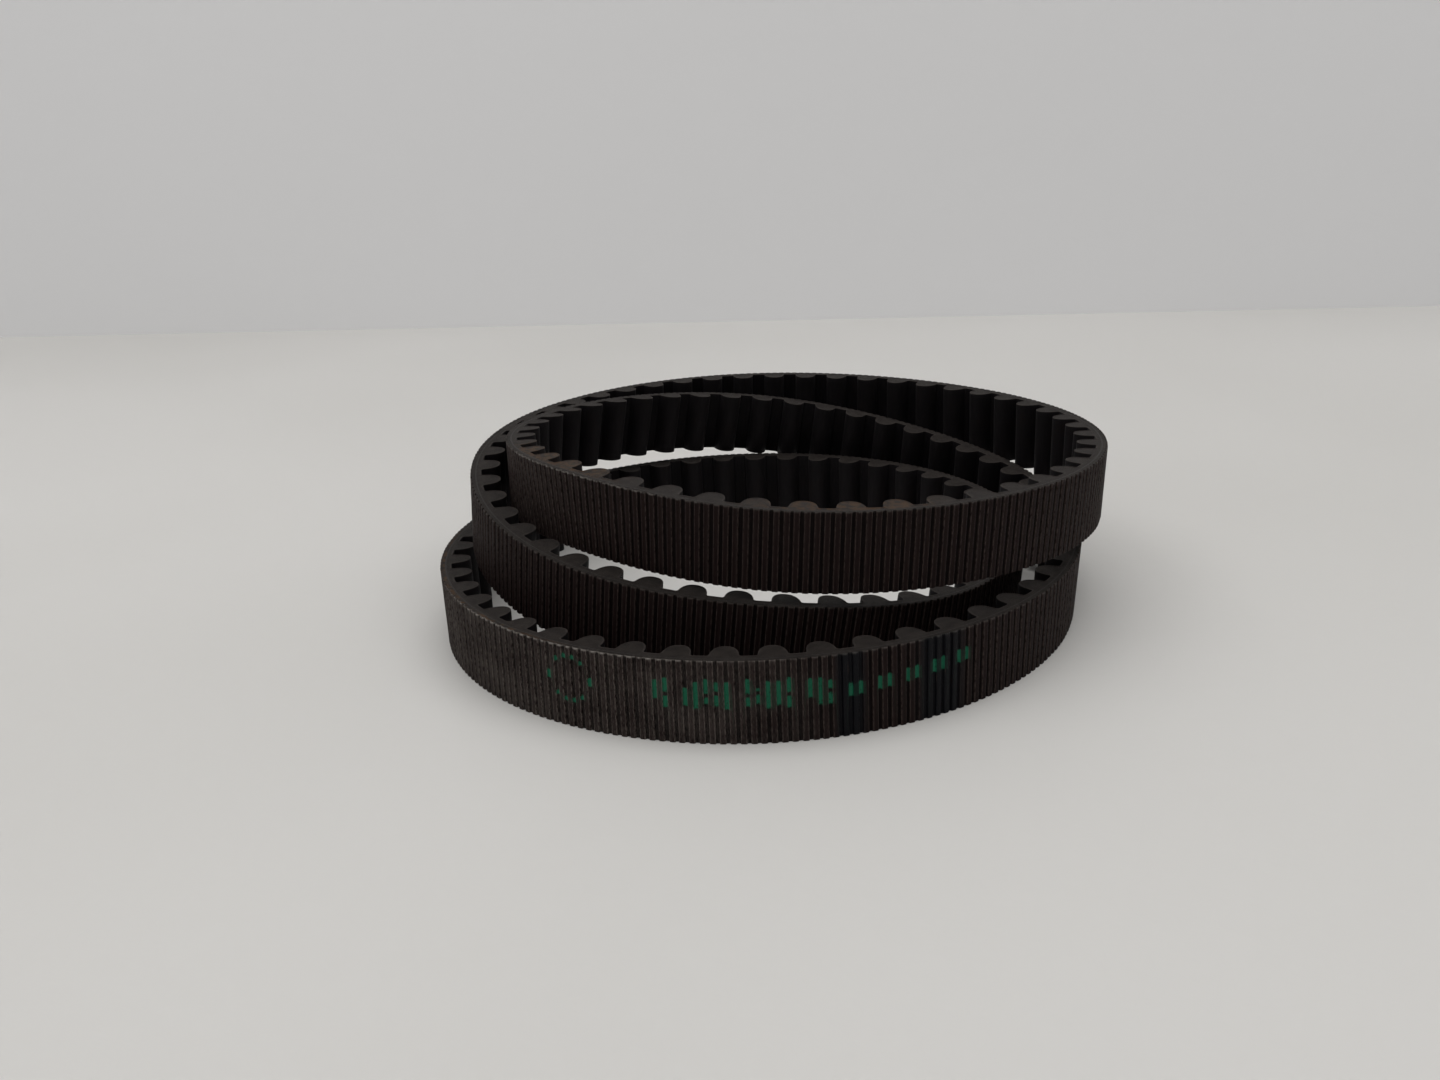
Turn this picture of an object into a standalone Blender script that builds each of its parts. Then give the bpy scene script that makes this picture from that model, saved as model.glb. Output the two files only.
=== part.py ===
"""Curved-tooth timing belt, laid down on its edge in a coil of three turns.

The belt is one endless loop of rubber, cord and cloth.  It is built here as twelve quarter-turn
lengths, each with its own backing, cord band, tooth rubber and tooth facing.  Neighbouring lengths
meet in the land between two teeth, where the belt is thinnest, and bend there about an upright axis
through the cords.  Lengths are in millimetres; meshes are written in metres, with +Z up.
The coil stands on Z = 0 with the middle of its footprint at the origin.
"""

import math

import bmesh
import bpy
import numpy as np

MM = 0.001

# Driving dimensions of the belt.
PITCH = 8.0
TOOTH_COUNT = 137
BELT_WIDTH = 14.3
BACKING_THICKNESS = 0.55
CORD_THICKNESS = 0.45
WEB_THICKNESS = 0.20  # tooth rubber that runs on over the lands
FACING_THICKNESS = 0.35
LAYER_GAP = 0.20
TOOTH_HEIGHT = 3.65
TOOTH_ROOT_WIDTH = 5.6
TOOTH_WAIST_WIDTH = 4.5
TOOTH_TIP_WIDTH = 2.2
TOOTH_WAIST_SHARE = 0.56  # height of the waist, as a share of the tooth
CORD_EDGE_MARGIN = 0.9  # the cords stop short of both cut edges
FLEX_GAP = 0.40  # slot between neighbouring lengths

# Depths below the crown of the backing, worked out from the layers.
CORD_DEPTH = BACKING_THICKNESS + LAYER_GAP
PITCH_LINE_DEPTH = CORD_DEPTH + CORD_THICKNESS / 2
WEB_DEPTH = CORD_DEPTH + CORD_THICKNESS + LAYER_GAP
FACING_DEPTH = WEB_DEPTH + WEB_THICKNESS + LAYER_GAP
LAND_DEPTH = FACING_DEPTH + FACING_THICKNESS
TIP_DEPTH = LAND_DEPTH + TOOTH_HEIGHT

# How the coil lies: eight stations to a turn, counter-clockwise from the front (-Y).
# Each row is one turn; the last station of the third turn runs back into the first turn.
STATION_RADII = (
    (53.3, 61.1, 67.5, 69.2, 67.3, 63.5, 59.5, 56.6),
    (53.8, 51.9, 50.8, 50.8, 52.8, 57.8, 63.9, 67.4),
    (66.5, 63.3, 61.3, 60.3, 58.9, 55.7, 51.3, 49.1),
)
STATION_HEIGHTS = (
    (20.4, 18.7, 16.6, 15.7, 17.0, 17.5, 15.5, 9.3),
    (4.1, 0.0, 0.0, 0.0, 0.0, 0.0, 0.0, 0.0),
    (0.0, 0.0, 1.8, 6.6, 14.2, 18.4, 21.0, 22.8),
)
# Tilt of the belt's wall from upright, in degrees, four to a turn; positive leans the top inwards.
WALL_LEANS = ((-2.5, -1.5, 4.5, 4.5), (-3.5, -5.0, 0.5, -0.5), (2.0, -2.5, 12.5, 2.0))
TURN_COUNT = len(STATION_RADII)
TOOTH_PHASE = 0.42  # where the first tooth stands, in pitches past the front of the first turn

QUARTERS = ("front_right", "back_right", "back_left", "front_left")
SAMPLES = 2880  # points along the whole path

# name: (colour, roughness)
FINISHES = {
    "backing": ((0.045, 0.040, 0.038, 1.0), 0.70),
    "cord_band": ((0.42, 0.36, 0.26, 1.0), 0.60),
    "tooth_rubber": ((0.060, 0.055, 0.052, 1.0), 0.75),
    "tooth_facing": ((0.050, 0.046, 0.050, 1.0), 0.55),
}


def clear_scene():
    """Remove what the scene already holds."""
    for obj in list(bpy.data.objects):
        bpy.data.objects.remove(obj, do_unlink=True)


def smooth_slopes(values):
    """Slopes of the closed cubic curve that has no jump in curvature at its stations."""
    count = len(values)
    matrix = 4.0 * np.eye(count) + np.roll(np.eye(count), 1, axis=0) + np.roll(np.eye(count), -1, axis=0)
    return np.linalg.solve(matrix, 3.0 * (np.roll(values, -1) - np.roll(values, 1)))


def closed_curve(values, slopes, turns):
    """Cubic curve through evenly spaced values that closes on itself, read at places in turns."""
    place = np.asarray(turns) / TURN_COUNT * len(values)
    index = np.floor(place).astype(int) % len(values)
    following = (index + 1) % len(values)
    part = place - np.floor(place)
    return (
        values[index] * (1 + 2 * part) * (1 - part) ** 2
        + slopes[index] * part * (1 - part) ** 2
        + values[following] * part**2 * (3 - 2 * part)
        + slopes[following] * part**2 * (part - 1)
    )


class BeltPath:
    """The line that the belt follows, with the directions across it."""

    def __init__(self):
        self.turns = np.linspace(0.0, TURN_COUNT, SAMPLES + 1)
        wanted = PITCH * TOOTH_COUNT
        self.radius_scale = 1.0
        for _ in range(4):
            self.lay()
            self.radius_scale *= wanted / self.length[-1]
        self.lay()

    def lay(self):
        radii = np.array(STATION_RADII).ravel() * self.radius_scale
        heights = np.array(STATION_HEIGHTS).ravel()
        leans = np.radians(np.array(WALL_LEANS).ravel())
        angle = 2 * math.pi * self.turns - math.pi / 2
        radius = closed_curve(radii, smooth_slopes(radii), self.turns)
        height = closed_curve(heights, smooth_slopes(heights) * (heights > 0), self.turns)
        lean = closed_curve(leans, smooth_slopes(leans), self.turns)
        self.base = np.stack([radius * np.cos(angle), radius * np.sin(angle), height], axis=1)
        along = np.roll(self.base[:-1], -1, axis=0) - np.roll(self.base[:-1], 1, axis=0)
        along = np.concatenate([along, along[:1]])
        along /= np.linalg.norm(along, axis=1)[:, None]
        self.inward = np.stack([-along[:, 1], along[:, 0], np.zeros(len(along))], axis=1)
        self.inward /= np.linalg.norm(self.inward, axis=1)[:, None]
        square = np.cross(along, self.inward)  # across the belt, square to its edges
        self.up = square * np.cos(lean)[:, None] + self.inward * np.sin(lean)[:, None]
        edges = np.concatenate([self.base, self.base + self.up * BELT_WIDTH])[:, :2]
        self.base[:, :2] -= (edges.max(axis=0) + edges.min(axis=0)) / 2
        pitch_line = self.base + self.inward * PITCH_LINE_DEPTH + self.up * BELT_WIDTH / 2
        steps = np.linalg.norm(np.diff(pitch_line, axis=0), axis=1)
        self.length = np.concatenate([[0.0], np.cumsum(steps)])

    def at(self, distance, depth, rise):
        """The point at a distance along the pitch line, a depth below the crown and a rise up the wall."""
        distance = distance % self.length[-1]
        base, inward, up = (
            np.array([np.interp(distance, self.length, column) for column in vectors.T])
            for vectors in (self.base, self.inward, self.up)
        )
        return base + inward * depth + up * rise

    def distance_at(self, turns):
        return float(np.interp(turns, self.turns, self.length))


def flex_places(path):
    """Distances of the twelve bending places: the land nearest to each quarter of a turn."""
    places = []
    for quarter in range(TURN_COUNT * len(QUARTERS)):
        wanted = path.distance_at(quarter / len(QUARTERS)) / PITCH
        land = round(wanted - TOOTH_PHASE - 0.5) + TOOTH_PHASE + 0.5
        places.append(land * PITCH)
    return places


def add_column(bm, path, distance, depth, low, high):
    """Add the two points, low and high, of one upright edge of a solid."""
    return [bm.verts.new(path.at(distance, depth, rise) * MM) for rise in (low, high)]


def add_walls(bm, ring):
    """Join neighbouring columns of a closed ring."""
    for (low, high), (next_low, next_high) in zip(ring, ring[1:] + ring[:1]):
        bm.faces.new((low, next_low, next_high, high))


def add_ends(bm, columns):
    """Close the bottom and the top between columns that stand in a ring."""
    bm.faces.new([low for low, high in columns][::-1])
    bm.faces.new([high for low, high in columns])


def add_band(bm, path, outer, inner, low, high):
    """Add the solid between two lines of (distance, depth) that have the same number of points."""
    outer_columns = [add_column(bm, path, *point, low, high) for point in outer]
    inner_columns = [add_column(bm, path, *point, low, high) for point in inner]
    add_walls(bm, outer_columns + inner_columns[::-1])
    for i in range(len(outer) - 1):
        add_ends(bm, outer_columns[i : i + 2] + inner_columns[i : i + 2][::-1])


def tooth_outline(centre, offset=0.0):
    """One side view of a tooth, from root to root, moved into its body by offset."""
    half_root, half_waist, half_tip = (
        width / 2 - offset for width in (TOOTH_ROOT_WIDTH, TOOTH_WAIST_WIDTH, TOOTH_TIP_WIDTH)
    )
    waist = LAND_DEPTH + TOOTH_HEIGHT * TOOTH_WAIST_SHARE - offset / 2
    tip = TIP_DEPTH - offset
    root = LAND_DEPTH - offset
    return [
        (centre - half_root, root),
        (centre - half_waist, waist),
        (centre - half_tip, tip),
        (centre + half_tip, tip),
        (centre + half_waist, waist),
        (centre + half_root, root),
    ]


def finish_object(name, bm, layer):
    """Turn the finished solid into a named object with its layer's own material."""
    bmesh.ops.recalc_face_normals(bm, faces=bm.faces)
    bmesh.ops.triangulate(bm, faces=[face for face in bm.faces if len(face.verts) > 3])
    mesh = bpy.data.meshes.new(name)
    bm.to_mesh(mesh)
    bm.free()
    colour, roughness = FINISHES[layer]
    material = bpy.data.materials.new(name)
    material.use_nodes = True
    shader = material.node_tree.nodes["Principled BSDF"]
    shader.inputs["Base Color"].default_value = colour
    shader.inputs["Roughness"].default_value = roughness
    shader.inputs["Metallic"].default_value = 0.0
    mesh.materials.append(material)
    obj = bpy.data.objects.new(name, mesh)
    bpy.context.scene.collection.objects.link(obj)
    return obj


def even_stations(start, end):
    """Distances from start to end with one at every tooth and every land between."""
    count = round((end - start + FLEX_GAP) / (PITCH / 2))
    return np.linspace(start, end, count + 1)


def backing(path, start, end):
    """Outer rubber: the smooth strip that carries the ribs of the belt's back."""
    bm = bmesh.new()
    stations = even_stations(start, end)
    outer = [(s, 0.0) for s in stations]
    inner = [(s, BACKING_THICKNESS) for s in stations]
    add_band(bm, path, outer, inner, 0.0, BELT_WIDTH)
    return bm


def cord_band(path, start, end):
    """The tension cords, side by side, as one flat band that stops short of the cut edges."""
    bm = bmesh.new()
    stations = even_stations(start, end)
    outer = [(s, CORD_DEPTH) for s in stations]
    inner = [(s, CORD_DEPTH + CORD_THICKNESS) for s in stations]
    add_band(bm, path, outer, inner, CORD_EDGE_MARGIN, BELT_WIDTH - CORD_EDGE_MARGIN)
    return bm


def tooth_rubber(path, start, end, teeth):
    """The moulded cores of the teeth, joined over the lands by a thin web."""
    bm = bmesh.new()
    web_face = WEB_DEPTH + WEB_THICKNESS

    def column(distance, depth):
        return add_column(bm, path, distance, depth, 0.0, BELT_WIDTH)

    face = [column(start, web_face)]
    back = [column(start, WEB_DEPTH)]
    for centre in teeth:
        outline = tooth_outline(centre, FACING_THICKNESS + LAYER_GAP)
        flanks = [column(*point) for point in outline]
        feet = [column(outline[side][0], WEB_DEPTH) for side in (0, -1)]
        add_ends(bm, [back[-1], feet[0], flanks[0], face[-1]])
        add_ends(bm, feet + flanks[::-1])
        face += flanks
        back += feet
    last_face = column(end, web_face)
    last_back = column(end, WEB_DEPTH)
    add_ends(bm, [back[-1], last_back, last_face, face[-1]])
    add_walls(bm, back + [last_back, last_face] + face[::-1])
    return bm


def tooth_facing(path, start, end, teeth):
    """Woven cloth over the lands and teeth, one strip for the whole length."""
    bm = bmesh.new()
    face = [(start, LAND_DEPTH)]
    back = [(start, FACING_DEPTH)]
    for centre in teeth:
        face += tooth_outline(centre)
        back += tooth_outline(centre, FACING_THICKNESS)
    face.append((end, LAND_DEPTH))
    back.append((end, FACING_DEPTH))
    add_band(bm, path, back, face, 0.0, BELT_WIDTH)
    return bm


def main():
    clear_scene()
    path = BeltPath()
    places = flex_places(path)
    loop_length = PITCH * TOOTH_COUNT
    for index, place in enumerate(places):
        turn, quarter = divmod(index, len(QUARTERS))
        name = f"turn{turn + 1}_{QUARTERS[quarter]}"
        following = places[(index + 1) % len(places)]
        if following < place:
            following += loop_length
        start, end = place + FLEX_GAP / 2, following - FLEX_GAP / 2
        tooth_total = round((following - place) / PITCH)
        teeth = [place + (i + 0.5) * PITCH for i in range(tooth_total)]
        solids = {
            "backing": backing(path, start, end),
            "cord_band": cord_band(path, start, end),
            "tooth_rubber": tooth_rubber(path, start, end, teeth),
            "tooth_facing": tooth_facing(path, start, end, teeth),
        }
        hinge = path.at(place, PITCH_LINE_DEPTH, BELT_WIDTH / 2) * MM
        holder = bpy.data.objects.new(name, None)
        holder.location = hinge
        bpy.context.scene.collection.objects.link(holder)
        for layer, bm in solids.items():
            bmesh.ops.translate(bm, verts=bm.verts, vec=-hinge)
            obj = finish_object(f"{name}_{layer}", bm, layer)
            obj.parent = holder


main()
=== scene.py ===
"""Looks of a timing belt with rounded teeth, coiled in three turns on its cut edge.

The belt is one loop, so every layer is drawn along one path: ribbed backing, cords, tooth rubber and
tooth facing.  Each drawn length is centred on a flex joint and has its shape baked in place; at the
open place it is two lengths, and each follows one body.
Distances are in millimetres along the belt's pitch line; meshes are written in metres.
"""

import math

import bpy
import numpy as np
from mathutils import Euler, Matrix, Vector


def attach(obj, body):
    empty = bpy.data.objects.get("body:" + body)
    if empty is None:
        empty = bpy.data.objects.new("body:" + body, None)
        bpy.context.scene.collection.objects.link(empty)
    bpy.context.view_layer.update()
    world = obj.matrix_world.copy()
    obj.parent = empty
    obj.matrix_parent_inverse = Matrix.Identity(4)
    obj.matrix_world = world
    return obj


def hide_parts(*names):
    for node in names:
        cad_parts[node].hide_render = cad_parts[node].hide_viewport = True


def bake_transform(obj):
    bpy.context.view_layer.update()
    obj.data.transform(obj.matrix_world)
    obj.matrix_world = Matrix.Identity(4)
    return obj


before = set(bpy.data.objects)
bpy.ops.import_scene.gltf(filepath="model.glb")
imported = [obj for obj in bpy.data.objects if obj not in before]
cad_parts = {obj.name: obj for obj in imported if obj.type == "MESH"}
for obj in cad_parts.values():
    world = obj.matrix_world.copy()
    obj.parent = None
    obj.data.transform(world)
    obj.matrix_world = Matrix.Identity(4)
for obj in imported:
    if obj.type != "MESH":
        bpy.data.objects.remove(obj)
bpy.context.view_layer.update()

MM = 0.001

# The belt.
PITCH = 8.0
TOOTH_COUNT = 137
BELT_WIDTH = 14.3
PITCH_LINE_DEPTH = 0.975
CORD_DEPTH = 0.93
CORD_THICKNESS = 0.29
CORD_RECESS = 0.035  # how far the cut cords lie inside the belt's edges
LAND_DEPTH = 2.15
FACING_THICKNESS = 0.30
FACING_RISES = (13.2, 11.2, 9.2, 7.2, 5.2, 3.2, 1.2)
FACING_WRINKLE = 0.018
RUBBER_RECESS = 0.02  # how far the rubber lies below the cloth on the cut side
TOOTH_HEIGHT = 3.65
TOOTH_HALF_WIDTH = 2.5
TOOTH_POWER = 2.3  # 2 is an ellipse, more is fuller at the shoulders
ROOT_FILLET = 0.45
TOOTH_PHASE = 0.42  # the first tooth's place, in pitches

# The ribs of the back.  Shares are of the rib pitch.
RIB_COUNT = 671
RIB_DEPTH = 0.42
RIB_STATIONS = (0.0, 0.13, 0.18, 0.22, 0.26, 0.32, 0.5, 0.68, 0.74, 0.78, 0.82, 0.87)
CREST_HALF = 0.25
FLANK = 0.11
SHOULDER_WIDTH = 0.045
CREST_UNEVENNESS = 0.022
EDGE_STEPS = (0.0, 0.04, 0.10, 0.18, 0.28, 0.40, 0.70)  # in from the upper edge, where it is rounded
LOW_EDGE_SHARE = 0.6  # the steps at the lower edge are this much smaller
WALL_RISES = (0.8, 2.6, 4.6, 6.6, 8.6, 10.6, 12.4)
LOW_EDGE_ROUND = 0.12
RIM_START = 0.34  # below the upper edge
RIM_FULL = 0.10

# Marks along the belt: strength, start, end and the length over which they fade.
WORN_EDGE = ((1.0, 676.0, 800.0, 20.0),)
DARK_BANDS = ((1.0, 749.0, 753.6, 1.2), (1.0, 763.4, 771.6, 2.2))
DUST = ((1.0, 640.0, 697.0, 26.0),)
# Grey ribs: dust on the first stretch; the second, weaker stretch is a painted grazing highlight.
GREY_RIBS = ((1.0, 655.0, 742.0, 30.0), (0.30, 1010.0, 1062.0, 30.0))
BRIGHT_RIM = ((1.0, 672.0, 724.0, 20.0), (0.9, 1030.0, 1075.0, 22.0))
PLAIN_RIM = 0.25
OCHRE_TEETH = ((1.0, 1030.0, 1062.0, 14.0), (0.8, 1092.0, 1120.0, 14.0), (0.3, 4.0, 24.0, 8.0))

# Printed marks: a dotted ring, a line of bars and a tail of short bars.
RING_PLACE = 704.8
RING_RISE = 8.6
RING_RADIUS = 3.9
DOT_HALF = 0.36
SIDE_DOT_HALF = 0.75
BAR_LINE = (719, 749)
BAR_LOW = 6.0
BAR_HIGH = 10.6
BAR_SPLIT = 8.3
BAR_SPLIT_HALF = 0.35
BAR_TAIL = (750, 775)
TAIL_LOW = 7.2  # at TAIL_ZERO; it climbs along the belt
TAIL_ZERO = 756
TAIL_CLIMB = 0.08
TAIL_HEIGHT = 2.2
INK_SOFTNESS = 0.16

# Threads of the facing cloth and the cords.
WARP_PITCH = 0.42
WEFT_PITCH = 0.36
STRAND_PITCH = 0.9

# How the coil lies, eight stations to a turn, counter-clockwise from the front.
STATION_RADII = (
    (53.3, 61.1, 67.5, 69.2, 67.3, 63.5, 59.5, 56.6),
    (53.8, 51.9, 50.8, 50.8, 52.8, 57.8, 63.9, 67.4),
    (66.5, 63.3, 61.3, 60.3, 58.9, 55.7, 51.3, 49.1),
)
STATION_HEIGHTS = (
    (20.4, 18.7, 16.6, 15.7, 17.0, 17.5, 15.5, 9.3),
    (4.1, 0.0, 0.0, 0.0, 0.0, 0.0, 0.0, 0.0),
    (0.0, 0.0, 1.8, 6.6, 14.2, 18.4, 21.0, 22.8),
)
WALL_LEANS = ((-2.5, -1.5, 4.5, 4.5), (-3.5, -5.0, 0.5, -0.5), (2.0, -2.5, 12.5, 2.0))
TURN_COUNT = len(STATION_RADII)
QUARTERS = ("front_right", "back_right", "back_left", "front_left")
PLACES = ("front", "right", "back", "left")
PLACE_COUNT = TURN_COUNT * len(PLACES)
OPEN_PLACE = 5  # the flex place that has no joint
OPEN_GAP = 0.16  # leaves room for the two free ends to turn
LEAST_STEP = 0.02  # between an end of a length and its next ring
SHARP_EDGE = 38  # degrees; sharper edges aren't shaded smooth
SAMPLES = 2880  # points that the path is worked out at


def smooth_slopes(values):
    count = len(values)
    matrix = 4.0 * np.eye(count) + np.roll(np.eye(count), 1, axis=0) + np.roll(np.eye(count), -1, axis=0)
    return np.linalg.solve(matrix, 3.0 * (np.roll(values, -1) - np.roll(values, 1)))


def closed_curve(values, slopes, turns):
    place = np.asarray(turns) / TURN_COUNT * len(values)
    index = np.floor(place).astype(int) % len(values)
    following = (index + 1) % len(values)
    part = place - np.floor(place)
    return (
        values[index] * (1 + 2 * part) * (1 - part) ** 2
        + slopes[index] * part * (1 - part) ** 2
        + values[following] * part**2 * (3 - 2 * part)
        + slopes[following] * part**2 * (part - 1)
    )


class BeltPath:
    """The line that the belt follows, as in the CAD part."""

    def __init__(self):
        self.turns = np.linspace(0.0, TURN_COUNT, SAMPLES + 1)
        self.radius_scale = 1.0
        for _ in range(4):
            self.lay()
            self.radius_scale *= PITCH * TOOTH_COUNT / self.length[-1]
        self.lay()

    def lay(self):
        radii = np.array(STATION_RADII).ravel() * self.radius_scale
        heights = np.array(STATION_HEIGHTS).ravel()
        leans = np.radians(np.array(WALL_LEANS).ravel())
        angle = 2 * math.pi * self.turns - math.pi / 2
        radius = closed_curve(radii, smooth_slopes(radii), self.turns)
        height = closed_curve(heights, smooth_slopes(heights) * (heights > 0), self.turns)
        lean = closed_curve(leans, smooth_slopes(leans), self.turns)
        self.base = np.stack([radius * np.cos(angle), radius * np.sin(angle), height], axis=1)
        along = np.roll(self.base[:-1], -1, axis=0) - np.roll(self.base[:-1], 1, axis=0)
        along = np.concatenate([along, along[:1]])
        along /= np.linalg.norm(along, axis=1)[:, None]
        self.inward = np.stack([-along[:, 1], along[:, 0], np.zeros(len(along))], axis=1)
        self.inward /= np.linalg.norm(self.inward, axis=1)[:, None]
        square = np.cross(along, self.inward)
        self.up = square * np.cos(lean)[:, None] + self.inward * np.sin(lean)[:, None]
        edges = np.concatenate([self.base, self.base + self.up * BELT_WIDTH])[:, :2]
        self.base[:, :2] -= (edges.max(axis=0) + edges.min(axis=0)) / 2
        pitch_line = self.base + self.inward * PITCH_LINE_DEPTH + self.up * BELT_WIDTH / 2
        steps = np.linalg.norm(np.diff(pitch_line, axis=0), axis=1)
        self.length = np.concatenate([[0.0], np.cumsum(steps)])

    def at(self, distance, depth, rise):
        """Points at distances along the belt, depths below the rib crests and rises up the wall."""
        distance = np.mod(distance, self.length[-1])
        base, inward, up = (
            np.stack([np.interp(distance, self.length, column) for column in vectors.T], axis=-1)
            for vectors in (self.base, self.inward, self.up)
        )
        return base + inward * np.asarray(depth)[..., None] + up * np.asarray(rise)[..., None]

    def distance_at(self, turns):
        return float(np.interp(turns, self.turns, self.length))


path = BeltPath()
LOOP = PITCH * TOOTH_COUNT
RIB_PITCH = LOOP / RIB_COUNT
NOISE_CELLS = (512, 64)
rng = np.random.default_rng(11)
rib_heights = rng.uniform(0.86, 1.0, RIB_COUNT)
rib_shifts = rng.uniform(-0.03, 0.03, RIB_COUNT)
noise_table = rng.uniform(-1.0, 1.0, NOISE_CELLS)


def smoothstep(low, high, x):
    t = np.clip((x - low) / (high - low), 0.0, 1.0)
    return t * t * (3 - 2 * t)


def lattice_noise(x, y):
    """Smooth noise from -1 to 1 that repeats after NOISE_CELLS."""
    xi, yi = np.floor(x).astype(int), np.floor(y).astype(int)
    fx, fy = smoothstep(0, 1, x - xi), smoothstep(0, 1, y - yi)

    def corner(i, j):
        return noise_table[(xi + i) % NOISE_CELLS[0], (yi + j) % NOISE_CELLS[1]]

    low = corner(0, 0) * (1 - fx) + corner(1, 0) * fx
    high = corner(0, 1) * (1 - fx) + corner(1, 1) * fx
    return low * (1 - fy) + high * fy


def stretch(distance, start, end, soft):
    """1 along a stretch of the belt, fading to 0 over soft millimetres at each end."""
    middle = (start + end) / 2
    off = np.abs((distance - middle + LOOP / 2) % LOOP - LOOP / 2)
    return 1 - smoothstep((end - start) / 2 - soft / 2, (end - start) / 2 + soft / 2, off)


def marked(distance, marks):
    """How strongly a place is marked, from 0 to 1."""
    return np.clip(sum(strength * stretch(distance, *span) for strength, *span in marks), 0, 1)


def land_near(distance):
    """The middle of the land between two teeth that is nearest."""
    return (round(distance / PITCH - TOOTH_PHASE - 0.5) + TOOTH_PHASE + 0.5) * PITCH


flex_places = [land_near(path.distance_at(quarter / 4)) for quarter in range(PLACE_COUNT)]
seams = []
for k in range(PLACE_COUNT):
    following = flex_places[(k + 1) % PLACE_COUNT]
    if following < flex_places[k]:
        following += LOOP
    seams.append(land_near((flex_places[k] + following) / 2))


# ---------------------------------------------------------------- meshes


def loft(name, S, D, R, side_u, cut_segments, materials, attributes):
    """A closed solid through a grid of rings.  Rows follow the belt, columns go round the section.

    side_u is the first map coordinate on the sides; the cut segments are mapped by depth instead of rise.
    """
    rows, columns = S.shape
    mesh = bpy.data.meshes.new(name)
    i, j = np.meshgrid(np.arange(rows - 1), np.arange(columns), indexing="ij")
    following = (j + 1) % columns
    quads = np.stack(
        [
            i * columns + j,
            (i + 1) * columns + j,
            (i + 1) * columns + following,
            i * columns + following,
        ],
        axis=-1,
    ).reshape(-1, 4)
    caps = [list(range(columns)), list(range(rows * columns - 1, (rows - 1) * columns - 1, -1))]
    mesh.from_pydata((path.at(S, D, R) * MM).reshape(-1, 3).tolist(), [], quads.tolist() + caps)
    flat_s, flat_d, flat_r = S.ravel(), D.ravel(), R.ravel()
    flat_u = side_u.ravel()
    is_cut = np.isin(j.ravel(), cut_segments)
    corners = quads.ravel()
    cut_corner = np.repeat(is_cut, 4)
    u = np.where(cut_corner, flat_s[corners], flat_u[corners])
    v = np.where(cut_corner, flat_d[corners], flat_r[corners])
    cap_corners = np.array(caps[0] + caps[1])
    u = np.concatenate([u, flat_d[cap_corners]])
    v = np.concatenate([v, flat_r[cap_corners]])
    layer = mesh.uv_layers.new(name="belt")
    layer.data.foreach_set("uv", np.stack([u, v], axis=1).astype(np.float32).ravel())
    mesh.polygons.foreach_set("material_index", np.concatenate([is_cut, [True, True]]).astype(np.int32))
    for material in materials:
        mesh.materials.append(material)
    for key, values in attributes.items():
        made = mesh.attributes.new(key, "FLOAT_VECTOR", "POINT")
        made.data.foreach_set("vector", values.reshape(-1, 3).astype(np.float32).ravel())
    mesh.shade_smooth()
    mesh.set_sharp_from_angle(angle=math.radians(SHARP_EDGE))
    mesh.update()
    obj = bpy.data.objects.new(name, mesh)
    bpy.context.scene.collection.objects.link(obj)
    return obj


def rib_stations(start, end):
    """Where rings of the backing lie between two ends, close together on the ribs' flanks."""
    first, last = math.floor(start / RIB_PITCH), math.ceil(end / RIB_PITCH)
    found = (np.arange(first, last)[:, None] + np.array(RIB_STATIONS)).ravel() * RIB_PITCH
    inside = found[(found > start + LEAST_STEP) & (found < end - LEAST_STEP)]
    return np.concatenate([[start], inside, [end]])


def rib_shape(distance):
    """The rib's height as a share, that of an even rib, the way from the rib's middle, the rib's number."""
    place = np.mod(distance, LOOP) / RIB_PITCH
    index = np.floor(place).astype(int) % RIB_COUNT
    off = np.abs(place - np.floor(place) - 0.5 - rib_shifts[index])
    flank = 1 - smoothstep(CREST_HALF, CREST_HALF + FLANK, off)
    height = flank * rib_heights[index] * (1 - 0.10 * np.clip(off / CREST_HALF, 0, 1) ** 2)
    return height, flank, off, index


def edge_round(distance):
    """How far the ribs are worn back along the top edge."""
    worn = marked(distance, WORN_EDGE) * (0.75 + 0.25 * lattice_noise(distance / 7, distance * 0 + 3))
    return 0.11 + 0.03 * lattice_noise(distance / 2.5, distance * 0) + 0.13 * worn


def ink_spans(index):
    """The two inked stretches of a groove as four rises; a stretch without height holds no ink."""
    distance = index * RIB_PITCH
    spans = np.zeros(index.shape + (4,))

    off = distance - RING_PLACE
    reach = np.sqrt(np.clip(RING_RADIUS**2 - off**2, 0, None))
    half = np.where(np.abs(off) > 0.75 * RING_RADIUS, SIDE_DOT_HALF, DOT_HALF)
    lower, upper = RING_RISE - reach, RING_RISE + reach
    ring = np.stack([lower - half, lower + half, upper - half, upper + half], axis=-1)
    on_ring = np.abs(off) < RING_RADIUS + RIB_PITCH / 2
    spans = np.where(on_ring[..., None], ring, spans)

    low = BAR_LOW + 0.5 * (index % 3 == 0) + 0.9 * (index % 5 == 1)
    high = BAR_HIGH + 0.5 * (index % 4 == 2) - 1.1 * (index % 7 == 3)
    split = BAR_SPLIT + 0.4 * (index % 2)
    split_bars = np.stack([low, split - BAR_SPLIT_HALF, split + BAR_SPLIT_HALF, high], axis=-1)
    whole_bars = np.stack([low, high, low, low], axis=-1)
    bars = np.where((index % 4 < 2)[..., None], whole_bars, split_bars)
    in_line = (distance > BAR_LINE[0]) & (distance < BAR_LINE[1]) & (index % 6 != 5)
    spans = np.where(in_line[..., None], bars, spans)

    low = TAIL_LOW + TAIL_CLIMB * (distance - TAIL_ZERO)
    short_bars = np.stack([low, low + TAIL_HEIGHT, low, low], axis=-1)
    in_tail = (distance > BAR_TAIL[0]) & (distance < BAR_TAIL[1]) & (index % 3 != 0)
    return np.where(in_tail[..., None], short_bars, spans)


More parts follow.
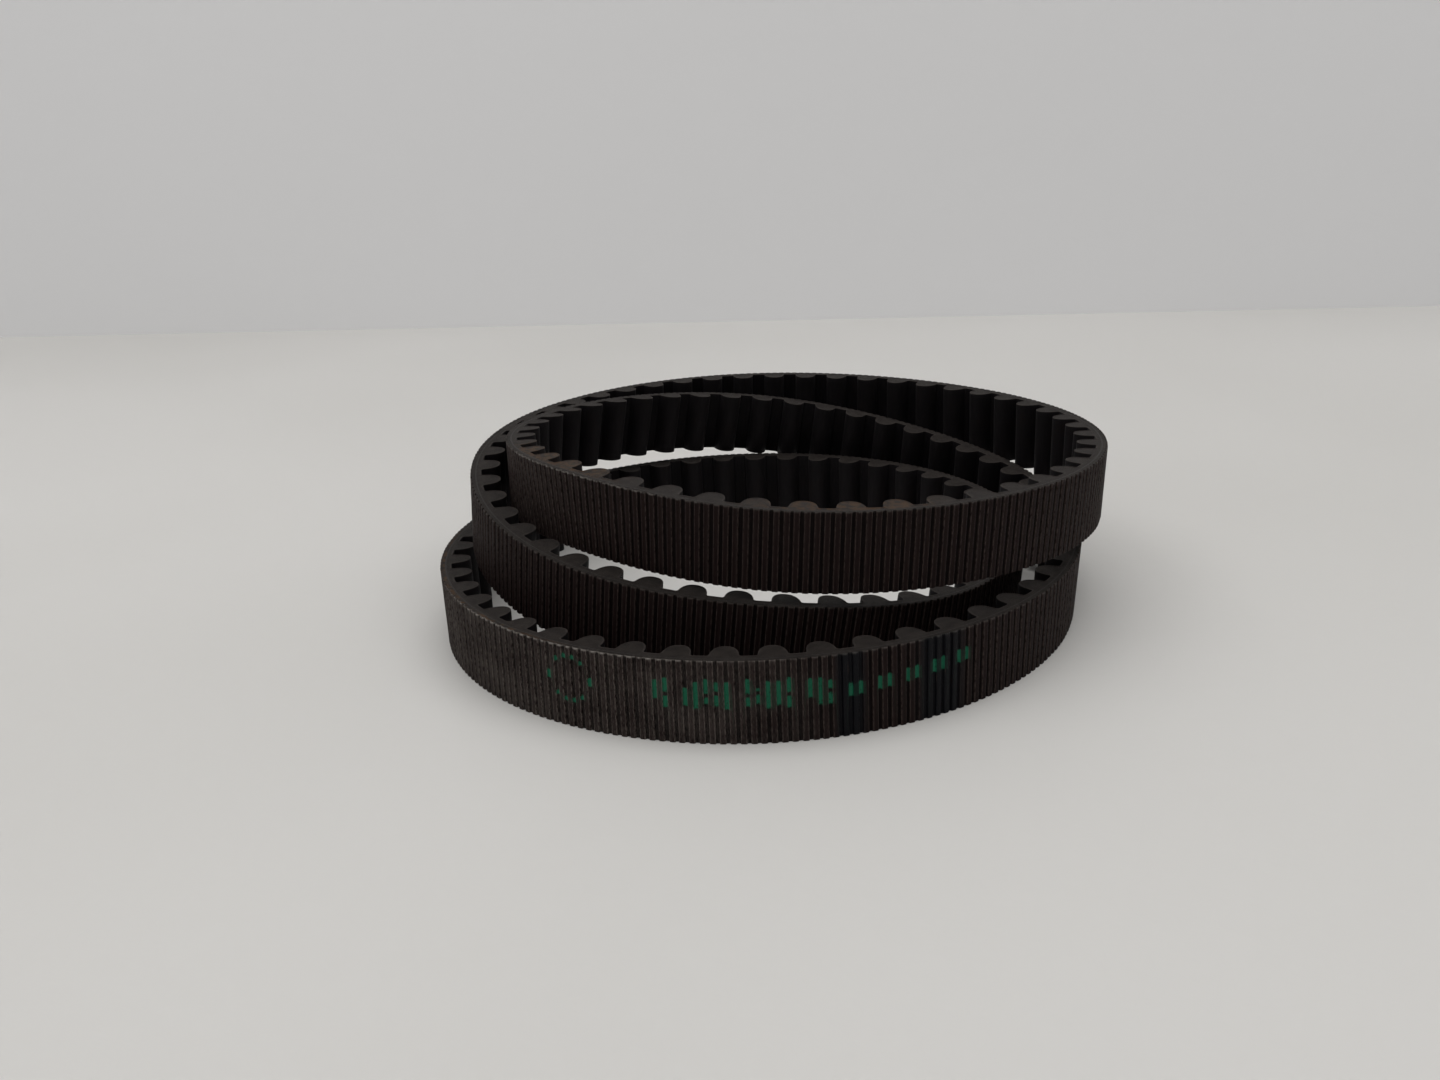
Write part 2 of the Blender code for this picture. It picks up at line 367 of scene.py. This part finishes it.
def backing_depths(stations, rise):
    """Depths of the ribbed side, uneven on the crests and rounded at both edges."""
    crest, flank, _, _ = rib_shape(stations)
    depth = RIB_DEPTH * (1 - crest)[:, None] * np.ones(len(rise))
    uneven = lattice_noise(stations[:, None] * 1.7, rise[None, :] * 0.55 + 9)
    depth = depth + CREST_UNEVENNESS * uneven * flank[:, None]
    for from_edge, size in (
        (BELT_WIDTH - rise, edge_round(stations)),
        (rise, np.full(len(stations), LOW_EDGE_ROUND)),
    ):
        near = np.clip(1 - from_edge[None, :] / size[:, None], 0, 1)
        depth = np.maximum(depth, size[:, None] * (1 - np.sqrt(1 - near**2)))
    return np.maximum(depth, 0.0)


def backing_attributes(stations, S, R):
    """What the back's material reads: the ribs' shape, the marks and the inked stretches."""
    _, flank, off, index = rib_shape(stations)
    ones = np.ones_like(S)
    # The shoulder mask is where a highlight is painted along the edges of each rib.
    shoulder = np.exp(-(((off - CREST_HALF - 0.01) / SHOULDER_WIDTH) ** 2))
    rim = smoothstep(BELT_WIDTH - RIM_START, BELT_WIDTH - RIM_FULL, R)
    rim = rim * (PLAIN_RIM + marked(S, BRIGHT_RIM))
    nearest_groove = np.where(np.mod(stations, LOOP) / RIB_PITCH % 1 > 0.5, index + 1, index)
    spans = ink_spans(nearest_groove)
    attributes = {
        "shape": np.stack([flank[:, None] * ones, shoulder[:, None] * ones, rim], axis=-1),
        "state": np.stack([marked(S, DARK_BANDS), marked(S, DUST), marked(S, GREY_RIBS)], axis=-1),
    }
    for name, first in (("ink_a", 0), ("ink_b", 2)):
        low, high = (ones * spans[:, column, None] for column in (first, first + 1))
        attributes[name] = np.stack([low, high, np.zeros_like(S)], axis=-1)
    return attributes


def backing_piece(name, start, end, materials):
    stations = rib_stations(start, end)
    rise = np.array(
        [step * LOW_EDGE_SHARE for step in EDGE_STEPS[:-1]]
        + list(WALL_RISES)
        + [BELT_WIDTH - step for step in reversed(EDGE_STEPS)]
    )
    outer = len(rise)
    S = np.repeat(stations[:, None], outer + 2, axis=1)
    R = np.repeat(np.concatenate([rise, [BELT_WIDTH, 0.0]])[None, :], len(stations), axis=0)
    back = np.full((len(stations), 2), CORD_DEPTH)
    D = np.concatenate([backing_depths(stations, rise), back], axis=1)
    cut = [outer - 1, outer, outer + 1]
    return loft(name, S, D, R, S, cut, materials, backing_attributes(stations, S, R))


def cord_piece(name, start, end, materials):
    stations = np.linspace(start, end, max(2, round(end - start) + 1))
    ring = [
        (CORD_DEPTH, CORD_RECESS),
        (CORD_DEPTH, BELT_WIDTH - CORD_RECESS),
        (CORD_DEPTH + CORD_THICKNESS, BELT_WIDTH - CORD_RECESS),
        (CORD_DEPTH + CORD_THICKNESS, CORD_RECESS),
    ]
    S = np.repeat(stations[:, None], len(ring), axis=1)
    D = np.repeat(np.array([[depth for depth, rise in ring]]), len(stations), axis=0)
    R = np.repeat(np.array([[rise for depth, rise in ring]]), len(stations), axis=0)
    return loft(name, S, D, R, S, [1, 3], materials, {})


def tooth_curve(start, end):
    """The belt's inner side as (distance, depth), from land to land: each tooth stands on two fillets."""
    angles = np.linspace(0, math.pi, 25)[1:-1]
    power = 2 / TOOTH_POWER
    along = -np.cos(angles)
    bulge_x = TOOTH_HALF_WIDTH * np.sign(along) * np.abs(along) ** power
    bulge_h = TOOTH_HEIGHT * np.sin(angles) ** power
    keep = bulge_h > ROOT_FILLET * 1.15
    turn = np.linspace(0, math.pi / 2, 6)
    foot_x = TOOTH_HALF_WIDTH + ROOT_FILLET * (1 - np.sin(turn))
    foot_h = ROOT_FILLET * (1 - np.cos(turn))
    tooth_x = np.concatenate([-foot_x, bulge_x[keep], foot_x[::-1]])
    tooth_h = np.concatenate([foot_h, bulge_h[keep], foot_h[::-1]])
    first = math.ceil(start / PITCH - TOOTH_PHASE - 0.001)
    last = math.floor(end / PITCH - TOOTH_PHASE + 0.001)
    distance, depth = [[start]], [[LAND_DEPTH]]
    for k in range(first, last + 1):
        centre = (k + TOOTH_PHASE) * PITCH
        distance.append(centre + tooth_x)
        depth.append(LAND_DEPTH + tooth_h)
    distance.append([end])
    depth.append([LAND_DEPTH])
    return np.concatenate(distance), np.concatenate(depth)


def moved_into_tooth(distance, depth, amount):
    """The same curve, moved square to itself towards the backing."""
    ds, dd = np.gradient(distance), np.gradient(depth)
    length = np.hypot(ds, dd)
    moved_s = distance + amount * dd / length
    moved_d = depth - amount * ds / length
    moved_s[[0, -1]] = distance[[0, -1]]
    moved_d[[0, -1]] = depth[[0, -1]] - amount
    return moved_s, moved_d


def inner_attributes(S, D):
    """What the materials of the toothed side read: how far up a tooth, and how ochre.

    cut_rubber reads the second value as how soiled a cut is, which on the backing is its dust.
    """
    tooth = smoothstep(LAND_DEPTH, LAND_DEPTH + TOOTH_HEIGHT, D)
    return {"state": np.stack([tooth, marked(S, OCHRE_TEETH), np.zeros_like(S)], axis=-1)}


def rubber_piece(name, start, end, materials):
    curve_s, curve_d = moved_into_tooth(*tooth_curve(start, end), FACING_THICKNESS)
    cord_face = np.full_like(curve_d, CORD_DEPTH + CORD_THICKNESS)
    low, high = np.zeros_like(curve_s), np.full_like(curve_s, BELT_WIDTH - RUBBER_RECESS)
    S = np.stack([curve_s] * 6, axis=1)
    near_core = cord_face + (curve_d - cord_face) * 0.5
    D = np.stack([cord_face, cord_face, near_core, curve_d, curve_d, near_core], axis=1)
    R = np.stack([low, high, high - RUBBER_RECESS, high, low, low], axis=1)
    return loft(name, S, D, R, S, [1, 2, 4, 5], materials, inner_attributes(S, D))


def facing_piece(name, start, end, materials):
    face_s, face_d = tooth_curve(start, end)
    back_s, back_d = moved_into_tooth(face_s, face_d, FACING_THICKNESS)
    top = BELT_WIDTH
    ring = (
        [(0.0, 0.0), (0.0, top), (0.25, top + 0.03), (0.75, top + 0.03), (0.95, top), (1.0, top - 0.06)]
        + [(1.0, rise) for rise in FACING_RISES]
        + [(1.0, 0.05), (0.9, 0.0)]
    )
    share, rise = (np.array(column)[None, :] for column in zip(*ring))
    S = back_s[:, None] + (face_s - back_s)[:, None] * share
    D = back_d[:, None] + (face_d - back_d)[:, None] * share
    R = np.repeat(rise, len(face_s), axis=0)
    on_face = share > 0.99
    D = D + FACING_WRINKLE * lattice_noise(S * 2.1, R * 0.5 + 30) * on_face
    # The cloth is mapped by the way along its face; the offset gives each length a weave of its own.
    arc = np.concatenate([[0.0], np.cumsum(np.hypot(np.diff(face_s), np.diff(face_d)))]) + start * 1.6
    side_u = np.repeat(arc[:, None], len(ring), axis=1)
    cut = [1, 2, 3, 4, len(ring) - 1]
    return loft(name, S, D, R, side_u, cut, materials, inner_attributes(S, D))


# ---------------------------------------------------------------- materials


class Shader:
    """A Principled material built from belt coordinates: x along the belt, y across it, in millimetres."""

    def __init__(self, name, mapped=True):
        self.material = bpy.data.materials.new(name)
        self.material.use_nodes = True
        self.tree = self.material.node_tree
        self.bsdf = self.tree.nodes["Principled BSDF"]
        if mapped:
            uv = self.tree.nodes.new("ShaderNodeUVMap")
            uv.uv_map = "belt"
            split = self.tree.nodes.new("ShaderNodeSeparateXYZ")
            self.link(uv.outputs["UV"], split.inputs[0])
            self.x, self.y = split.outputs[0], split.outputs[1]

    def link(self, source, target):
        if isinstance(source, (int, float)):
            target.default_value = source
        elif isinstance(source, tuple):
            target.default_value = (*source, 1.0)
        else:
            self.tree.links.new(source, target)

    def maths(self, operation, a, b=0.0, clamp=False):
        node = self.tree.nodes.new("ShaderNodeMath")
        node.operation = operation
        node.use_clamp = clamp
        for value, target in zip((a, b), node.inputs):
            self.link(value, target)
        return node.outputs[0]

    def mul(self, a, b, clamp=False):
        return self.maths("MULTIPLY", a, b, clamp=clamp)

    def add(self, a, b):
        return self.maths("ADD", a, b)

    def spread(self, value, low, high, to_low=0.0, to_high=1.0):
        """Goes smoothly from to_low to to_high as the value goes from low to high."""
        node = self.tree.nodes.new("ShaderNodeMapRange")
        node.interpolation_type = "SMOOTHSTEP"
        for key, number in zip(("From Min", "From Max", "To Min", "To Max"), (low, high, to_low, to_high)):
            self.link(number, node.inputs[key])
        self.link(value, node.inputs["Value"])
        return node.outputs["Result"]

    def noise(self, x_scale, y_scale, detail, rough):
        """Noise with its own number of features per millimetre along the belt and across it."""
        join = self.tree.nodes.new("ShaderNodeCombineXYZ")
        self.link(self.mul(self.x, x_scale), join.inputs[0])
        self.link(self.mul(self.y, y_scale), join.inputs[1])
        return self.noise_at(join.outputs[0], 1.0, detail, rough)

    def noise_at(self, spot, scale, detail, rough):
        node = self.tree.nodes.new("ShaderNodeTexNoise")
        node.inputs["Scale"].default_value = scale
        node.inputs["Detail"].default_value = detail
        node.inputs["Roughness"].default_value = rough
        self.link(spot, node.inputs["Vector"])
        return node.outputs["Fac"]

    def mix(self, share, a, b):
        node = self.tree.nodes.new("ShaderNodeMix")
        node.data_type = "RGBA"
        self.link(share, node.inputs[0])
        self.link(a, node.inputs[6])
        self.link(b, node.inputs[7])
        return node.outputs[2]

    def attribute(self, name):
        node = self.tree.nodes.new("ShaderNodeAttribute")
        node.attribute_name = name
        split = self.tree.nodes.new("ShaderNodeSeparateXYZ")
        self.link(node.outputs["Vector"], split.inputs[0])
        return split.outputs[0], split.outputs[1], split.outputs[2]

    def bump(self, height, distance, strength):
        node = self.tree.nodes.new("ShaderNodeBump")
        node.inputs["Distance"].default_value = distance * MM
        node.inputs["Strength"].default_value = strength
        self.link(height, node.inputs["Height"])
        self.tree.links.new(node.outputs["Normal"], self.bsdf.inputs["Normal"])

    def finish(self, colour, roughness, specular):
        self.link(colour, self.bsdf.inputs["Base Color"])
        self.link(roughness, self.bsdf.inputs["Roughness"])
        self.bsdf.inputs["Specular IOR Level"].default_value = specular
        return self.material


def ink_share(sh, crest):
    """How much ink covers the back: ragged at its ends, blotchy, and thin on the crests of the ribs."""
    rough_y = sh.add(sh.y, sh.mul(sh.add(sh.noise(3.1, 2.2, 2.0, 0.5), -0.5), 0.7))
    covers = []
    for name in ("ink_a", "ink_b"):
        low, high, _ = sh.attribute(name)
        above = sh.spread(sh.maths("SUBTRACT", rough_y, low), -INK_SOFTNESS, INK_SOFTNESS)
        below = sh.spread(sh.maths("SUBTRACT", high, rough_y), -INK_SOFTNESS, INK_SOFTNESS)
        has_height = sh.maths("GREATER_THAN", sh.maths("SUBTRACT", high, low), 0.05)
        covers.append(sh.mul(sh.mul(above, below), has_height))
    inked = sh.mul(sh.maths("MAXIMUM", *covers), sh.spread(crest, 0.45, 0.95, 1.0, 0.10))
    return sh.mul(inked, sh.spread(sh.noise(2.6, 1.9, 3.0, 0.6), 0.30, 0.44, 0.25, 0.95))


def back_rubber():
    """Dark ribs with a painted highlight along their worn shoulders, dust and grey ribs (on one stretch a
    painted highlight), a worn rim, dark bands and green ink.
    """
    sh = Shader("backing_rubber_ribbed")
    crest, shoulder, rim = sh.attribute("shape")
    band, dust, grey = sh.attribute("state")
    streak = sh.noise(5.0, 0.30, 4.0, 0.65)
    scratch = sh.noise(11.0, 1.1, 4.0, 0.68)
    grain = sh.noise(9.0, 7.0, 4.0, 0.6)
    cloud = sh.noise(0.11, 0.16, 3.0, 0.5)
    groove = sh.mix(sh.spread(cloud, 0.3, 0.7), (0.0026, 0.0008, 0.0009), (0.0046, 0.0017, 0.0016))
    crown = sh.mix(sh.spread(streak, 0.3, 0.7), (0.0058, 0.0020, 0.0019), (0.0140, 0.0068, 0.0062))
    colour = sh.mix(crest, groove, crown)
    # Painted highlight: the rib shoulders are lightened as if their worn edges caught the light.
    lit = sh.mul(shoulder, sh.spread(scratch, 0.36, 0.58, 0.05, 1.0), clamp=True)
    colour = sh.mix(sh.mul(lit, 0.85), colour, (0.078, 0.060, 0.054))
    # Dust, and on one stretch a painted highlight, lightening the ribs most at their shoulders.
    dust_and_highlight = sh.mul(grey, sh.spread(sh.add(sh.mul(scratch, 0.8), sh.mul(cloud, 0.3)), 0.46, 0.66), clamp=True)
    colour = sh.mix(sh.mul(dust_and_highlight, sh.add(0.22, sh.mul(shoulder, 0.60))), colour, (0.165, 0.143, 0.128))
    fleck = sh.spread(sh.noise(4.2, 3.6, 2.0, 0.5), 0.66, 0.74)
    colour = sh.mix(sh.mul(sh.mul(fleck, dust), 0.6), colour, (0.16, 0.15, 0.138))
    colour = sh.mix(sh.mul(dust, 0.20), colour, (0.060, 0.054, 0.049))
    colour = sh.mix(sh.mul(band, sh.spread(streak, 0.28, 0.44)), colour, (0.0030, 0.0031, 0.0048))
    worn = sh.mul(rim, sh.spread(sh.noise(1.3, 0.2, 3.0, 0.6), 0.30, 0.62), clamp=True)
    colour = sh.mix(sh.mul(worn, 0.80), colour, (0.190, 0.175, 0.160))
    colour = sh.mix(ink_share(sh, crest), colour, (0.017, 0.145, 0.080))
    roughness = sh.add(0.50, sh.mul(sh.spread(streak, 0.2, 0.8), 0.22))
    roughness = sh.add(roughness, sh.mul(dust, 0.2))
    roughness = sh.maths("SUBTRACT", roughness, sh.mul(band, 0.28))
    height = sh.add(sh.mul(grain, 0.6), sh.mul(scratch, 0.6))
    sh.bump(height, 0.09, 1.0)
    return sh.finish(colour, roughness, 0.10)


def cut_rubber(name, base, light):
    """The sawn side of the belt: fine marks along the cut, light specks and rusty spots."""
    sh = Shader(name)
    grain = sh.noise(7.0, 7.0, 4.0, 0.65)
    cloud = sh.noise(0.45, 0.6, 3.0, 0.6)
    marks = sh.noise(0.7, 11.0, 3.0, 0.6)
    _, soiled, _ = sh.attribute("state")
    colour = sh.mix(sh.spread(cloud, 0.3, 0.72), base, light)
    colour = sh.mix(sh.mul(sh.spread(grain, 0.45, 0.75), 0.35), colour, tuple(v * 1.5 for v in light))
    rusty = sh.mul(soiled, sh.spread(sh.noise(0.7, 0.8, 3.0, 0.6), 0.40, 0.62))
    colour = sh.mix(sh.mul(rusty, 0.60), colour, (0.075, 0.040, 0.018))
    speck = sh.spread(sh.noise(3.1, 3.3, 1.0, 0.5), 0.70, 0.76)
    colour = sh.mix(sh.mul(speck, 0.35), colour, (0.075, 0.068, 0.060))
    sh.bump(sh.add(sh.mul(grain, 0.5), sh.mul(marks, 0.5)), 0.10, 1.0)
    return sh.finish(colour, sh.add(0.62, sh.mul(grain, 0.2)), 0.15)


def facing_cloth():
    """Nylon weave with a painted sheen on the rubbed teeth, so darker in the lands, with ochre stains."""
    sh = Shader("facing_cloth_weave")
    tooth, ochre, _ = sh.attribute("state")
    warp = sh.maths("SINE", sh.mul(sh.x, 2 * math.pi / WARP_PITCH))
    weft = sh.maths("SINE", sh.mul(sh.y, 2 * math.pi / WEFT_PITCH))
    weave = sh.mul(warp, weft)
    streak = sh.noise(2.6, 0.22, 4.0, 0.6)
    cloud = sh.noise(0.3, 0.2, 3.0, 0.6)
    grain = sh.noise(6.0, 6.0, 3.0, 0.6)
    colour = sh.mix(sh.spread(streak, 0.3, 0.7), (0.0022, 0.0017, 0.0024), (0.0066, 0.0050, 0.0060))
    # Painted sheen: the cloth is lighter towards the tooth tips, where it is rubbed.
    colour = sh.mix(sh.mul(tooth, 0.35), colour, (0.0085, 0.0070, 0.0076))
    colour = sh.mix(sh.mul(sh.spread(weave, 0.1, 0.9), 0.20), colour, (0.0120, 0.0105, 0.0110))
    colour = sh.mix(sh.mul(sh.spread(cloud, 0.5, 0.75), 0.35), colour, (0.0090, 0.0052, 0.0042))
    colour = sh.mix(sh.mul(sh.mul(ochre, sh.spread(grain, 0.45, 0.7)), 0.4), colour, (0.045, 0.024, 0.011))
    sh.bump(sh.add(sh.mul(weave, 0.35), grain), 0.035, 0.8)
    sh.bsdf.inputs["Sheen Weight"].default_value = 0.01
    sh.bsdf.inputs["Sheen Roughness"].default_value = 0.5
    return sh.finish(colour, sh.add(0.50, sh.mul(streak, 0.25)), 0.10)


def cord_finish():
    """Cut glass cords: pale strands along the belt."""
    sh = Shader("tension_cord_end")
    strand = sh.maths("SINE", sh.mul(sh.x, 2 * math.pi / STRAND_PITCH))
    fibre = sh.noise(9.0, 9.0, 2.0, 0.6)
    paleness = sh.spread(sh.add(sh.mul(strand, 0.2), fibre), 0.4, 0.8)
    colour = sh.mix(paleness, (0.012, 0.0095, 0.0085), (0.024, 0.020, 0.017))
    sh.bump(fibre, 0.04, 0.8)
    return sh.finish(colour, 0.7, 0.3)


def floor_finish():
    sh = Shader("pale_table", mapped=False)
    texco = sh.tree.nodes.new("ShaderNodeTexCoord")
    spot = texco.outputs["Object"]
    grain = sh.noise_at(spot, 220.0, 4.0, 0.6)
    cloud = sh.noise_at(spot, 4.0, 2.0, 0.5)
    colour = sh.mix(sh.spread(cloud, 0.3, 0.7), (0.600, 0.590, 0.570), (0.640, 0.630, 0.612))
    sh.bump(grain, 0.25, 0.25)
    return sh.finish(colour, 0.5, 0.25)


def wall_finish():
    return Shader("pale_wall", mapped=False).finish((0.86, 0.86, 0.87), 0.8, 0.2)


RIBBED = back_rubber()
CUT = cut_rubber("cut_edge_rubber", (0.0110, 0.0085, 0.0075), (0.0225, 0.0183, 0.0160))
CUT_FACING = cut_rubber("cut_edge_cloth", (0.0180, 0.0145, 0.0130), (0.0330, 0.0275, 0.0245))
CLOTH = facing_cloth()
CORD = cord_finish()

# For each layer of the CAD part: how it is made, its materials on the sides and the cuts, its slot, its word.
MAKERS = {
    "backing": (backing_piece, (RIBBED, CUT), "backing_rubber", "ribbed_back"),
    "cord_band": (cord_piece, (CORD, CORD), "tension_cord", "cords"),
    "tooth_rubber": (rubber_piece, (CUT, CUT), "tooth_rubber", "teeth"),
    "tooth_facing": (facing_piece, (CLOTH, CUT_FACING), "facing_cloth", "facing"),
}


def body_name(k):
    """The body that follows a flex place; the one before it is body_name(k - 1)."""
    return f"turn{k % PLACE_COUNT // 4 + 1}_{QUARTERS[k % 4]}"


def wire_piece(obj, before, after):
    """Attach a length to its body when it has one; a length between two bodies only has its transform baked.
    """
    if before == after:
        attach(obj, before)
    else:
        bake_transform(obj)


for k in range(PLACE_COUNT):
    start, place, end = seams[k - 1], flex_places[k], seams[k]
    if start > place:
        start -= LOOP
    if end < place:
        end += LOOP
    label = f"turn{k // 4 + 1}_{PLACES[k % 4]}"
    for layer, (maker, finishes, slot, word) in MAKERS.items():
        if k == OPEN_PLACE:
            parts = (
                (f"{label}_near_{word}", start, place - OPEN_GAP / 2, body_name(k - 1), body_name(k - 1)),
                (f"{label}_far_{word}", place + OPEN_GAP / 2, end, body_name(k), body_name(k)),
            )
        else:
            parts = ((f"{label}_{word}", start, end, body_name(k - 1), body_name(k)),)
        for name, first, last, before, after in parts:
            obj = maker(name, first, last, finishes)
            wire_piece(obj, before, after)
        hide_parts(f"{body_name(k)}_{layer}")


# ---------------------------------------------------------------- table, wall, light, camera


def plane(name, corners, material):
    mesh = bpy.data.meshes.new(name)
    mesh.from_pydata(corners, [], [(0, 1, 2, 3)])
    mesh.materials.append(material)
    obj = bpy.data.objects.new(name, mesh)
    bpy.context.scene.collection.objects.link(obj)
    return obj


WALL_DISTANCE = 0.322  # behind the middle of the coil
WALL_SLOPE = -0.141
ROOM = 3.0
front_left, front_right = (-ROOM, -ROOM, 0), (ROOM, -ROOM, 0)
foot_left, foot_right = ((x, WALL_DISTANCE + WALL_SLOPE * x, 0) for x in (-ROOM, ROOM))
top_left, top_right = ((x, y, ROOM) for x, y, _ in (foot_left, foot_right))
plane("table", [front_left, front_right, foot_right, foot_left], floor_finish())
plane("wall", [foot_left, foot_right, top_right, top_left], wall_finish())


def area_light(name, location, aim, size, power, colour):
    data = bpy.data.lights.new(name, "AREA")
    data.shape = "RECTANGLE"
    data.size, data.size_y = size
    data.energy = power
    data.color = colour
    obj = bpy.data.objects.new(name, data)
    obj.location = location
    obj.rotation_euler = (Vector(aim) - Vector(location)).to_track_quat("-Z", "Y").to_euler()
    bpy.context.scene.collection.objects.link(obj)


area_light("overhead", (0.0, -0.05, 1.1), (0, 0, 0), (2.2, 1.1), 14.0, (1.0, 0.995, 0.985))
area_light("front_fill", (-0.5, -0.9, 0.55), (0, 0, 0.02), (0.9, 0.6), 0.9, (1.0, 0.98, 0.96))

world = bpy.data.worlds.new("studio")
world.use_nodes = True
world.node_tree.nodes["Background"].inputs["Color"].default_value = (1.0, 0.995, 0.985, 1.0)
world.node_tree.nodes["Background"].inputs["Strength"].default_value = 0.22
bpy.context.scene.world = world
bpy.context.scene.view_settings.view_transform = "Standard"

CAMERA_PLACE = (-0.01112, -0.24435, 0.09809)
CAMERA_PITCH = 19.65
CAMERA_ROLL = -2.65
FOCAL_LENGTH = 31.44
camera_data = bpy.data.cameras.new("camera")
camera_data.sensor_width = 36.0
camera_data.lens = FOCAL_LENGTH
camera_data.clip_start = 0.01
camera = bpy.data.objects.new("camera", camera_data)
camera.location = CAMERA_PLACE
aim = Euler((math.radians(90 - CAMERA_PITCH), 0, 0)).to_matrix()
roll = Euler((0, 0, math.radians(CAMERA_ROLL))).to_matrix()
camera.rotation_euler = (aim @ roll).to_euler()
bpy.context.scene.collection.objects.link(camera)
bpy.context.scene.camera = camera
